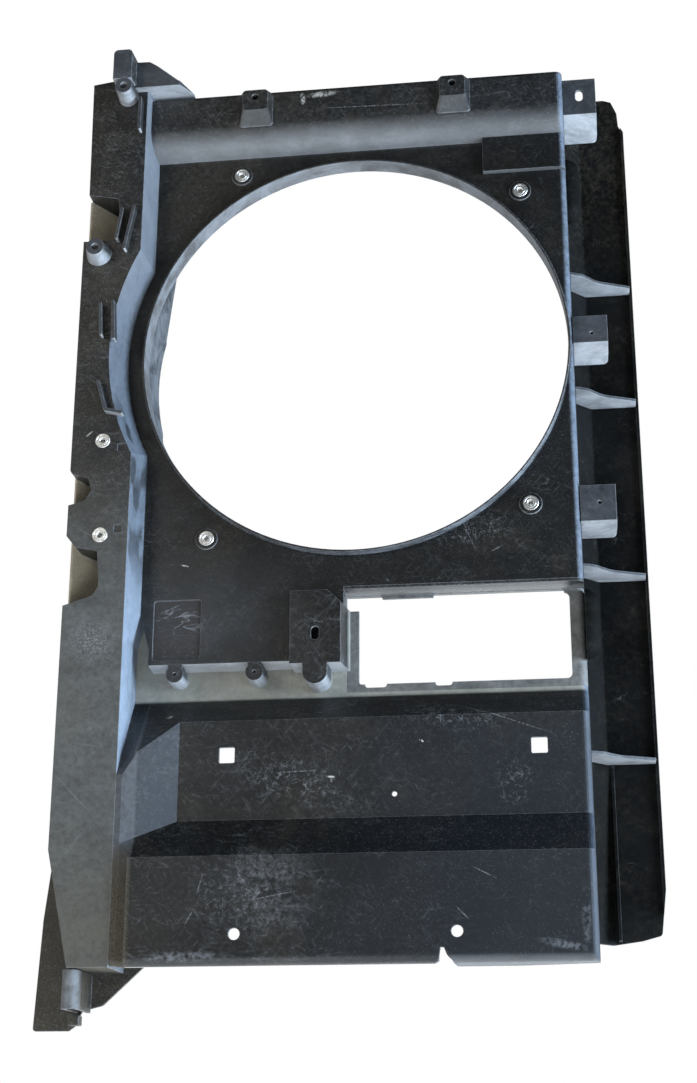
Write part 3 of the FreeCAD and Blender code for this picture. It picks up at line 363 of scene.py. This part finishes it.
def panel_layers(face):
    """Dust in the recess, painted light on the downward faces, below the plateau, along the right rounded
    edge and on the right-facing facets, painted shade on the lower right face, darker brown in the pocket,
    and the scuffs and scratches of the front.
    """
    tree = face.tree
    dust = times(tree, span(tree, face.smears, 0.30, 0.66, 0.70, 1.0),
                 span(tree, face.fine, 0.3, 0.65, 0.8, 1.0))
    recess = times(tree, span(tree, face.y, 0.012, 0.022), span(tree, face.y, 0.0255, 0.028, 1.0, 0.0),
                   span(tree, face.z, -0.3712, -0.3690), dust)
    # painted light: the downward faces just below the plateau painted bright
    painted_lip_light = times(tree, band(tree, face.z, -0.368, -0.325, 0.003), span(tree, face.nz, -0.2, -0.7),
                span(tree, face.smears, 0.34, 0.60, 0.35, 1.0))
    # painted light: downward faces painted pale, as if lit from below
    painted_underside_light = times(tree, span(tree, face.nz, -0.15, -0.75),
                      span(tree, face.smears, 0.30, 0.66, 0.60, 1.0),
                      span(tree, face.z, 0.10, 0.20, 1.0, 0.60),
                      most(tree, span(tree, face.z, 0.20, 0.10), span(tree, face.x, 0.0, 0.22, 1.0, 0.55)),
                      most(tree, span(tree, face.z, -0.60, -0.52, 0.08, 1.0),
                           span(tree, face.x, 0.080, 0.092)))
    # painted highlight: blue sky reflection along the panel's right rounded edge
    edge = times(tree, span(tree, face.nx, 0.20, 0.60), span(tree, face.nx, 0.90, 0.985, 1.0, 0.06),
                 span(tree, face.x, 0.205, 0.215), span(tree, face.fine, 0.35, 0.60, 0.55, 1.0),
                 span(tree, face.smears, 0.34, 0.60, 0.55, 1.0))
    # painted shade: the lower right face darkened to a blue-black
    blue = times(tree, span(tree, face.x, -0.08, 0.12), span(tree, face.z, -0.37, -0.42), 0.65)
    # darker brown inside the pocket
    pocket_darkening = times(tree, band(tree, face.x, -0.2055, -0.1515, 0.0006),
                  band(tree, face.z, -0.327, -0.2665, 0.0006), span(tree, face.y, -0.006, -0.004), 0.75)
    bared = times(tree, mark(tree, (-0.034, 0.2985), (0.017, 0.0085), 0.0, 0.4),
                  span(tree, face.fine, 0.40, 0.50), 0.9)
    scraped = times(tree, marks(tree, BEAM_SCRAPES), span(tree, face.scrape, 0.46, 0.53), 0.85)
    # painted light: blue-grey on the lower panel's right-facing facets
    painted_fold_light = times(tree, span(tree, face.nx, 0.15, 0.45), span(tree, face.z, -0.33, -0.36),
                 span(tree, face.x, -0.212, -0.206), span(tree, face.x, 0.2, 0.1), 0.40)
    corner = times(tree, mark(tree, (-0.160, -0.290), (0.120, 0.085), 0.0, 0.8),
                   span(tree, face.smears, 0.3, 0.65, 0.5, 1.0), 0.24)
    olive = times(tree, span(tree, face.nz, 0.3, 0.7), span(tree, face.grit, 0.55, 0.68), 0.22)
    rubs = times(tree, mark(tree, (-0.075, -0.570), (0.055, 0.050), 0.3, 0.7),
                 span(tree, face.smears, 0.40, 0.60), span(tree, face.fine, 0.34, 0.60), 0.26)
    curls = most(tree, hairlines(tree, placed(tree), 95.0, 0.028, 1.2),
                 hairlines(tree, placed(tree, shift=(5, 2, 7)), 150.0, 0.030, 0.8))
    swirls = times(tree, curls, marks(tree, SWIRLS), span(tree, face.fine, 0.42, 0.62), 0.60)
    scores = times(tree, marks(tree, PANEL_SCORES), span(tree, face.grit, 0.35, 0.60), 0.55)
    pocket = times(tree, hairlines(tree, placed(tree, (0.5, 1, 1.6), (0, 0.35, 0)), 75.0, 0.030, 0.6),
                   mark(tree, (-0.178, -0.291), (0.030, 0.017), 0.2, 0.6),
                   span(tree, face.fine, 0.35, 0.55), 0.8)
    rim = times(tree, marks(tree, CHALKED_RIM), span(tree, face.smears, 0.40, 0.58),
                span(tree, face.fine, 0.40, 0.60), 0.6)
    chips = times(tree, marks(tree, PANEL_CHIPS), span(tree, face.grit, 0.44, 0.54),
                  span(tree, face.fine, 0.30, 0.50))
    strip = times(tree, span(tree, face.x, -0.2075, -0.2105), band(tree, face.z, -0.54, -0.40, 0.02),
                  span(tree, face.fine, 0.3, 0.6, 0.6, 1.0), 0.75)
    brink = times(tree, span(tree, face.x, -0.207, -0.211), span(tree, face.z, -0.52, -0.55),
                  span(tree, face.grit, 0.38, 0.60, 0.25, 1.0), 0.80)
    return ((recess, RECESS_DUST), (painted_underside_light, UNDERSIDE_PAINTED_LIGHT), (painted_lip_light, LIP_PAINTED_LIGHT), (edge, EDGE_PAINTED_HIGHLIGHT),
            (blue, PAINTED_SHADE_BLUE_BLACK), (pocket_darkening, POCKET_DARKENING), (bared, CLEAN_BLACK), (scraped, CHALK),
            (painted_fold_light, FOLD_PAINTED_LIGHT), (corner, PALE_FILM), (olive, BROWN_DIRT), (rubs, RUBBED_AND_EDGE_HIGHLIGHT), (swirls, RUBBED_AND_EDGE_HIGHLIGHT),
            (scores, RUBBED_AND_EDGE_HIGHLIGHT), (pocket, RUBBED_AND_EDGE_HIGHLIGHT), (rim, RUBBED_AND_EDGE_HIGHLIGHT), (chips, CHALK), (strip, PALE_FILM),
            (brink, BROWN_DIRT))


def rail_layers(face):
    """Dust that thickens down the rail, painted blue sky light on its right-facing slope, tan in its notches
    brightened as painted light, and damp patches.
    """
    tree = face.tree
    streaks = span(tree, face.smears, 0.32, 0.62, 0.45, 1.0)
    dusty = times(tree, span(tree, face.z, -0.10, -0.30, 0.0, 1.0, True),
                  span(tree, face.y, -0.030, -0.034), span(tree, face.smears, 0.30, 0.66, 0.60, 1.0),
                  span(tree, face.fine, 0.30, 0.66, 0.55, 1.0))
    wet = times(tree, span(tree, face.damp, 0.47, 0.41),
                most(tree, band(tree, face.z, -0.24, -0.05, 0.03), 0.15), 0.70)
    facing = times(tree, span(tree, face.nx, 0.45, 0.85), span(tree, wet, 0.0, 1.0, 1.0, 0.0))
    # painted reflection: blue sky light on the right-facing slope, strongest at the foot
    slope = times(tree, facing, span(tree, face.smears, 0.3, 0.65, 0.70, 1.0),
                  span(tree, face.fine, 0.3, 0.6, 0.7, 1.0))
    foot = times(tree, facing, span(tree, face.z, -0.20, -0.32), streaks)
    top = times(tree, facing, span(tree, face.z, 0.02, 0.16), streaks, 0.85)
    scores = times(tree, marks(tree, RAIL_SCORES), span(tree, face.grit, 0.35, 0.60, 0.3, 1.0), 0.30)
    heights = most(tree, *(band(tree, face.z, low, high, 0.001) for low, high in NOTCH_HEIGHTS))
    # tan on the notch floors, brightened as painted light against the shade in the notches
    notch = times(tree, span(tree, face.y, -0.0335, -0.030), span(tree, face.x, -0.2505, -0.2525), heights,
                  span(tree, face.ny, -0.1, -0.4), span(tree, face.smears, 0.3, 0.6, 0.55, 1.0))
    brown = times(tree, span(tree, face.x, -0.225, -0.262), span(tree, face.clouds, 0.40, 0.60),
                  span(tree, face.grit, 0.42, 0.62), 0.40)
    earth = times(tree, span(tree, face.z, -0.48, -0.60), span(tree, face.smears, 0.30, 0.62, 0.3, 1.0),
                  span(tree, face.grit, 0.35, 0.60, 0.4, 1.0), 0.60)
    inner = times(tree, band(tree, face.x, -0.228, -0.212, 0.005), span(tree, face.z, -0.50, -0.56),
                  span(tree, face.grit, 0.40, 0.62), 0.75)
    grit = times(tree, mark(tree, (-0.260, -0.320), (0.030, 0.026), 0.0, 0.8),
                 span(tree, face.grit, 0.52, 0.62), 0.75)
    chips = times(tree, marks(tree, RAIL_CHIPS), span(tree, face.fine, 0.30, 0.50))
    return ((dusty, RAIL_DUST), (slope, SLOPE_PAINTED_SKY), (foot, SLOPE_FOOT_PAINTED_SKY), (top, SLOPE_TOP_PAINTED_SKY),
            (scores, RUBBED_AND_EDGE_HIGHLIGHT), (notch, NOTCH_TAN_PAINTED_LIGHT), (brown, BROWN_DIRT), (earth, RAIL_EARTH),
            (inner, BROWN_DIRT), (grit, RUBBED_AND_EDGE_HIGHLIGHT), (chips, CHALK))


def guide_layers(face):
    """Brown grain over the black of the side guide, thicker at its upper end."""
    tree = face.tree
    grain = times(tree, span(tree, face.fine, 0.45, 0.75), span(tree, face.smears, 0.40, 0.62), 0.30)
    top = times(tree, span(tree, face.z, 0.10, 0.24), span(tree, face.y, 0.040, 0.060),
                span(tree, face.fine, 0.40, 0.66), 0.22)
    return ((grain, GUIDE_GRAIN), (top, BROWN_DIRT))


def rib_layers(face):
    """Pale painted light on the undersides of the webs and tabs beside the panel, and a pale, scraped film
    on their fronts.
    """
    tree = face.tree
    # painted light: pale undersides, as if lit from below
    under = times(tree, span(tree, face.nz, -0.2, -0.8),
                  span(tree, face.smears, 0.36, 0.58, 0.50, 1.0), 0.95)
    front = times(tree, span(tree, face.ny, -0.4, -0.9),
                  span(tree, face.smears, 0.36, 0.60, 0.30, 0.80), 0.55)
    return ((front, RIB_FRONT_FILM), (under, RIB_UNDERSIDE_PAINTED_LIGHT))


def foot_layers(face):
    """Caked brown dirt on the foot and a pale film on its post."""
    tree = face.tree
    caked = times(tree, span(tree, face.smears, 0.35, 0.62, 0.35, 1.0),
                  span(tree, face.grit, 0.38, 0.62, 0.30, 1.0), 0.60)
    pale = times(tree, span(tree, face.y, -0.010, -0.022),
                 span(tree, face.smears, 0.38, 0.60, 0.35, 1.0), 0.85)
    return ((caked, BROWN_DIRT), (pale, FOOT_FILM))


def duct_layers(face):
    """A thick mottled coat of dust on the recessed frame."""
    tree = face.tree
    coat = times(tree, span(tree, face.y, 0.008, 0.022), span(tree, face.smears, 0.34, 0.60, 0.50, 1.0),
                 span(tree, face.fine, 0.32, 0.64, 0.60, 1.0))
    return ((coat, DUCT_DUST),)


def collar_layers(face):
    """Pale dust inside the collar and on the inner side of the walls behind it."""
    tree = face.tree
    coat = times(tree, span(tree, face.smears, 0.38, 0.60, 0.30, 1.0), span(tree, face.ny, -0.9, -0.5),
                 span(tree, face.x, 0.222, 0.205), 0.85)
    return ((coat, COLLAR_DUST),)


def plated_steel(name):
    """Bright plated steel with a little dirt."""
    material = new_material(name)
    tree = material.node_tree
    shader = tree.nodes["Principled BSDF"]
    stains = noise(tree, placed(tree), 260.0, 4.0, 0.6)
    colour = mixed(tree, span(tree, stains, 0.50, 0.74), CLEAN_STEEL, STAINED_STEEL)
    feed(tree, shader.inputs["Base Color"], colour)
    shader.inputs["Metallic"].default_value = 1.0
    feed(tree, shader.inputs["Roughness"], span(tree, stains, 0.3, 0.8, 0.34, 0.60))
    return material


# The moulding's finishes, and the piece names that wear them by how they start
FINISHES = {
    "fan": moulded_plastic("fan_panel_plastic", 0.01, 0.40, panel_layers, scrub=0.14),
    "panel": moulded_plastic("panel_plastic", 0.06, 0.30, panel_layers),
    "beam": moulded_plastic("beam_plastic", 0.16, 0.45, panel_layers),
    "rail": moulded_plastic("rail_plastic", 0.10, 0.50, rail_layers, scrub=0.34),
    "guide": moulded_plastic("guide_plastic", 0.0, 0.05, guide_layers, (0.62, 0.76), 0.22, 0.05, 0.10, 0.02),
    "wall": moulded_plastic("wall_plastic", 0.0, 0.05, collar_layers, (0.62, 0.76), 0.22, 0.05, 0.10, 0.02),
    "rib": moulded_plastic("rib_plastic", 0.30, 0.40, rib_layers, wear_and_highlight=0.8),
    "foot": moulded_plastic("foot_plastic", 0.10, 0.90, foot_layers),
    "duct": moulded_plastic("duct_plastic", 0.40, 0.50, duct_layers),
    "collar": moulded_plastic("collar_plastic", 0.02, 0.20, collar_layers, wear_and_highlight=0.8),
}
FINISH_OF = {
    "fan_panel": "fan", "raised_pad": "fan", "top_beam": "beam", "beam_tab": "beam",
    "mounting_rail": "rail", "corner_bracket": "rib", "post_upper": "rib", "post_lower": "rib",
    "cable_clip": "rib", "side_guide": "guide", "guide_rib": "guide", "gusset": "rib",
    "guide_tab": "rib", "corner_tab": "rib", "wall_boss": "guide", "foot_bracket": "foot",
    "duct_frame": "duct", "fan_collar": "collar", "side_wall": "wall",
}
steel = plated_steel("plated_steel")
for node_name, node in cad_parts.items():
    finish = next((FINISH_OF[start] for start in FINISH_OF if node_name.startswith(start)), "panel")
    for material_slot in node.material_slots:
        material_slot.material = steel if "insert" in node_name else FINISHES[finish]


# Metal inserts: half of the section as radius and depth behind the seat, in millimetres
FLANGE_SECTION = [
    (4.6, 13.0), (5.0, 12.6), (5.0, 0.0), (7.7, 0.0), (8.0, -0.3), (8.0, -0.75), (7.55, -1.2),
    (6.1, -1.2), (5.8, -0.9), (5.4, -0.9), (5.1, -1.2), (3.5, -1.2), (2.7, -0.5),
]
FLANGE_HEIGHT = 1.2
THREAD_CREST, THREAD_ROOT = 2.55, 2.95
THREAD_PITCH = 1.0
THREAD_TURNS = 13
SPIN_STEPS = 48
MM_PER_METRE = 1000


def flanged_insert(name, node_name):
    """A turned insert with a grooved flange, a chamfered mouth and thread rings in its bore."""
    low, high = (Vector(corner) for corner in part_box(node_name))
    centre = (low + high) / 2
    seat = low.y + FLANGE_HEIGHT / MM_PER_METRE
    section = list(FLANGE_SECTION)
    for turn in range(THREAD_TURNS):
        depth = turn * THREAD_PITCH
        section += [(THREAD_CREST, depth), (THREAD_ROOT, depth + THREAD_PITCH / 2)]
    section.append((THREAD_ROOT, THREAD_TURNS * THREAD_PITCH))
    mesh = bmesh.new()
    corners = [mesh.verts.new((radius / MM_PER_METRE, depth / MM_PER_METRE, 0)) for radius, depth in section]
    lines = [mesh.edges.new((corners[i - 1], corners[i])) for i in range(len(corners))]
    bmesh.ops.spin(mesh, geom=corners + lines, cent=(0, 0, 0), axis=(0, 1, 0), angle=math.tau,
                   steps=SPIN_STEPS, use_merge=True)
    bmesh.ops.remove_doubles(mesh, verts=mesh.verts, dist=1e-6)
    bmesh.ops.recalc_face_normals(mesh, faces=mesh.faces)
    bmesh.ops.translate(mesh, verts=mesh.verts, vec=(centre.x, seat, centre.z))
    for face in mesh.faces:
        face.smooth = True
    data = bpy.data.meshes.new(name)
    mesh.to_mesh(data)
    mesh.free()
    data.set_sharp_from_angle(angle=math.radians(35))
    data.materials.append(steel)
    piece = bpy.data.objects.new(name, data)
    bpy.context.collection.objects.link(piece)
    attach(piece, "root")
    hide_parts(node_name)


for node_name in list(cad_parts):
    if "insert" in node_name:
        flanged_insert("turned_" + node_name, node_name)


# Floor, well below the camera
FLOOR_HEIGHT = -2.6
FLOOR_HALF_WIDTH = 5.0


def pale_floor():
    material = new_material("pale_floor")
    tree = material.node_tree
    shader = tree.nodes["Principled BSDF"]
    feed(tree, shader.inputs["Base Color"], mixed(tree, noise(tree, placed(tree), 1.5), *FLOOR_TONES))
    shader.inputs["Roughness"].default_value = 0.8
    mesh = bmesh.new()
    bmesh.ops.create_grid(mesh, x_segments=1, y_segments=1, size=FLOOR_HALF_WIDTH)
    bmesh.ops.translate(mesh, verts=mesh.verts, vec=(0, 0, FLOOR_HEIGHT))
    data = bpy.data.meshes.new("floor")
    mesh.to_mesh(data)
    mesh.free()
    data.materials.append(material)
    floor = bpy.data.objects.new("floor", data)
    bpy.context.collection.objects.link(floor)


pale_floor()


# Camera: low and looking up, its place in metres, its turns in radians and its lens in millimetres
CAMERA_PLACE = (0.2195, -1.6850, -0.81276)
CAMERA_ROLL, CAMERA_PITCH, CAMERA_YAW = 0.00239, -0.33921, 0.13291
SENSOR_HEIGHT = 36
LENS = 58.79


def aim_camera():
    tilt = (Matrix.Rotation(CAMERA_ROLL, 3, "Z") @ Matrix.Rotation(CAMERA_PITCH, 3, "X")
            @ Matrix.Rotation(CAMERA_YAW, 3, "Y"))
    axes = tilt @ Matrix(((1, 0, 0), (0, 0, -1), (0, 1, 0)))
    data = bpy.data.cameras.new("camera")
    camera = bpy.data.objects.new("camera", data)
    bpy.context.collection.objects.link(camera)
    turned = Matrix((axes[0], -axes[1], -axes[2])).transposed().to_4x4()
    camera.matrix_world = Matrix.Translation(CAMERA_PLACE) @ turned
    data.sensor_fit = "VERTICAL"
    data.sensor_height = SENSOR_HEIGHT
    data.lens = LENS
    bpy.context.scene.camera = camera


# Light: soft lamps as name, place, size, power, colour and the point that they face
MIDDLE = (0, 0, -0.15)
LAMPS = (
    ("window_right", (2.3, -0.60, -0.45), 1.6, 120, (0.66, 0.82, 1.0), MIDDLE),
    ("low_front", (0.3, -1.6, -2.4), 1.6, 26, (0.84, 0.92, 1.0), MIDDLE),
    ("low_back", (0.5, 1.6, -1.8), 1.3, 33, (0.86, 0.93, 1.0), MIDDLE),
    ("left_front", (-1.9, -2.6, 0.5), 1.1, 22, (1.0, 0.97, 0.92), MIDDLE),
    ("floor_wash", (0.0, 0.0, -0.95), 9.0, 200, (1.0, 1.0, 1.0), (0, 0, FLOOR_HEIGHT)),
)

# Colours of the surroundings: the light from either side, what the surfaces mirror and what is seen
WARM_SIDE = (0.62, 0.58, 0.52)
COOL_SIDE = (0.86, 0.93, 1.0)
MIRRORED_ROOM = (0.93, 0.96, 1.0, 1.0)
WHITE = (1.0, 1.0, 1.0, 1.0)


def area_lamp(name, place, size, power, colour, target):
    data = bpy.data.lights.new(name, "AREA")
    data.shape = "DISK"
    data.size = size
    data.energy = power
    data.color = colour
    lamp = bpy.data.objects.new(name, data)
    bpy.context.collection.objects.link(lamp)
    lamp.visible_camera = False
    towards = Vector(place) - Vector(target)
    lamp.matrix_world = Matrix.Translation(place) @ towards.to_track_quat("Z", "Y").to_matrix().to_4x4()


def light_world():
    world = bpy.data.worlds.new("studio")
    world.use_nodes = True
    tree = world.node_tree
    ambient = tree.nodes["Background"]
    direction = split(tree, add(tree, "ShaderNodeTexCoord").outputs["Generated"])
    side = maths(tree, "SUBTRACT", times(tree, direction[0], 0.6), times(tree, direction[2], 0.8))
    tint = mixed(tree, span(tree, side, -0.7, 0.9), WARM_SIDE, COOL_SIDE)
    feed(tree, ambient.inputs["Color"], tint)
    feed(tree, ambient.inputs["Strength"], span(tree, side, -0.6, 0.9, 0.10, 0.60))

    mirrored = add(tree, "ShaderNodeBackground")
    mirrored.inputs["Color"].default_value = MIRRORED_ROOM
    behind = span(tree, direction[1], -0.30, 0.35, 0.12, 1.0, True)
    below = span(tree, direction[2], 0.75, 0.15, 0.15, 1.0, True)
    feed(tree, mirrored.inputs["Strength"], times(tree, behind, below))
    white = add(tree, "ShaderNodeBackground")
    white.inputs["Color"].default_value = WHITE

    rays = add(tree, "ShaderNodeLightPath")
    glossy = add(tree, "ShaderNodeMixShader")
    seen = add(tree, "ShaderNodeMixShader")
    tree.links.new(rays.outputs["Is Glossy Ray"], glossy.inputs["Fac"])
    tree.links.new(ambient.outputs["Background"], glossy.inputs[1])
    tree.links.new(mirrored.outputs["Background"], glossy.inputs[2])
    through = maths(tree, "MAXIMUM", rays.outputs["Is Camera Ray"], rays.outputs["Is Transmission Ray"])
    tree.links.new(through, seen.inputs["Fac"])
    tree.links.new(glossy.outputs["Shader"], seen.inputs[1])
    tree.links.new(white.outputs["Background"], seen.inputs[2])
    tree.links.new(seen.outputs["Shader"], tree.nodes["World Output"].inputs["Surface"])
    bpy.context.scene.world = world


aim_camera()
light_world()
for lamp_settings in LAMPS:
    area_lamp(*lamp_settings)
bpy.context.scene.view_settings.view_transform = "Standard"
